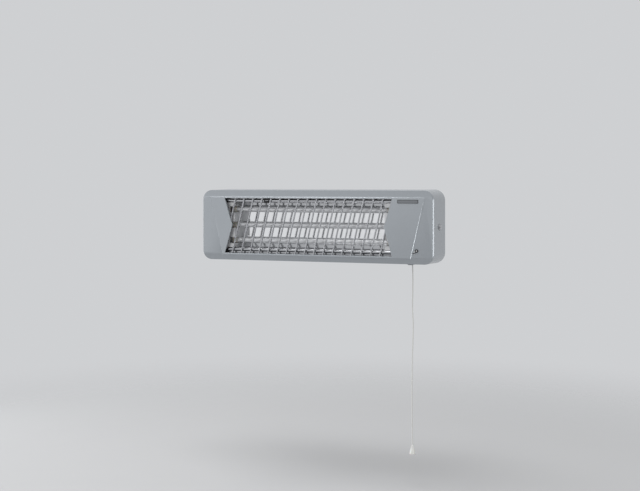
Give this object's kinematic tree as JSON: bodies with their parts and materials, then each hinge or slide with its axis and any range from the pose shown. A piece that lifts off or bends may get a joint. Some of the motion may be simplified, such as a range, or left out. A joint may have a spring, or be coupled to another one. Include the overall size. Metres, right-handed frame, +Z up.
{
  "type": "wall-mounted infrared heater",
  "caption": "Wall-mounted quartz infrared heater: rounded silver housing on a tilting bracket, polished reflector behind a slanted wire guard, and a pull-cord switch.",
  "frame": {"origin": "centre of the bracket's wall plate, on the face that lies on the wall", "axes": "+X to the viewer's right along the heater, +Y into the wall, +Z up"},
  "size_m": [0.4564, 0.1048, 0.4715],
  "materials": {
    "housing_paint": "satin silver paint",
    "cover_paint": "satin silver paint",
    "bracket_zinc": "zinc plated",
    "screw_steel": "zinc plated",
    "guard_chrome": "bright plated",
    "mirror_aluminium": "polished to a mirror",
    "spring_steel_black": "blackened",
    "milky_quartz": "satin quartz glass",
    "heating_wire": "oxidised",
    "white_ceramic": "unglazed",
    "brass": "bare",
    "badge_grey": "satin",
    "ivory_plastic": "moulded",
    "white_plastic": "glossy",
    "grey_plastic": "moulded",
    "red_plastic": "moulded",
    "black_plastic": "moulded",
    "lead_blue": "silicone",
    "lead_brown": "silicone",
    "lead_black": "silicone",
    "white_cord": "braided",
    "spring_wire": "bright"
  },
  "bodies": {
    "bracket": {"wall_bracket": "bracket_zinc", "pivot_screws": "screw_steel", "pivot_washers": "screw_steel", "pivot_nuts": "screw_steel"},
    "housing": {"pivot_bushes": "grey_plastic", "front_shell": "housing_paint", "rear_cover": "cover_paint", "rear_cover_screws": "screw_steel", "name_plate": "badge_grey", "reflector": "mirror_aluminium", "reflector_end_left": "mirror_aluminium", "reflector_end_right": "mirror_aluminium", "reflector_rivets": "screw_steel", "reflector_screws": "screw_steel", "guard_wires": "guard_chrome", "guard_rods": "guard_chrome", "guard_clip": "spring_steel_black", "quartz_tube_top": "milky_quartz", "quartz_tube_middle": "milky_quartz", "quartz_tube_bottom": "milky_quartz", "heating_coil_top": "heating_wire", "heating_coil_middle": "heating_wire", "heating_coil_bottom": "heating_wire", "tube_caps_left": "white_ceramic", "tube_caps_right": "white_ceramic", "tube_holder_left": "bracket_zinc", "tube_holder_right": "bracket_zinc", "holder_screws": "screw_steel", "tube_studs": "screw_steel", "stud_nuts": "screw_steel", "link_bar": "brass", "lead_lugs": "brass", "terminal_block": "ivory_plastic", "terminal_screws": "screw_steel", "cable_gland": "black_plastic", "gland_nut": "black_plastic", "cord_clamp": "ivory_plastic", "clamp_screws": "screw_steel", "switch_body": "ivory_plastic", "switch_cover": "ivory_plastic", "switch_screws": "screw_steel", "switch_contacts": "brass", "cam_pin": "screw_steel", "switch_spring": "spring_wire", "cord_guide": "grey_plastic", "lead_common": "lead_blue", "leads_switched": "lead_brown", "lead_live": "lead_black"},
    "slide": {"switch_slide": "grey_plastic"},
    "cam": {"switch_cam": "red_plastic"},
    "cord": {"cord_ferrule": "screw_steel", "ferrule_pin": "screw_steel", "pull_cord": "white_cord", "cord_knot": "white_cord", "pull_knob": "white_plastic"}
  },
  "joints": [
    {"name": "tilt", "type": "hinge", "parent": "bracket", "child": "housing", "pos_m": [0, -0.068, 0], "axis": [1, 0, 0], "range_deg": [0, 30]},
    {"name": "pull", "type": "slide", "parent": "housing", "child": "slide", "axis": [0, 0, -1], "range_m": [0, 0.008], "stiffness_N_per_m": 600, "deforming": ["switch_spring"]},
    {"name": "cam_turn", "type": "hinge", "parent": "housing", "child": "cam", "pos_m": [0.187, -0.075, -0.013], "axis": [0, -1, 0], "range_deg": [0, 45]},
    {"name": "plumb", "type": "hinge", "parent": "slide", "child": "cord", "pos_m": [0.178, -0.075, -0.044], "axis": [1, 0, 0], "range_deg": [-30, 0]}
  ],
  "couplings": [
    {"joint": "cam_turn", "follows": "pull", "rad_per_m": 98.1},
    {"joint": "plumb", "follows": "tilt", "ratio": -1}
  ]
}
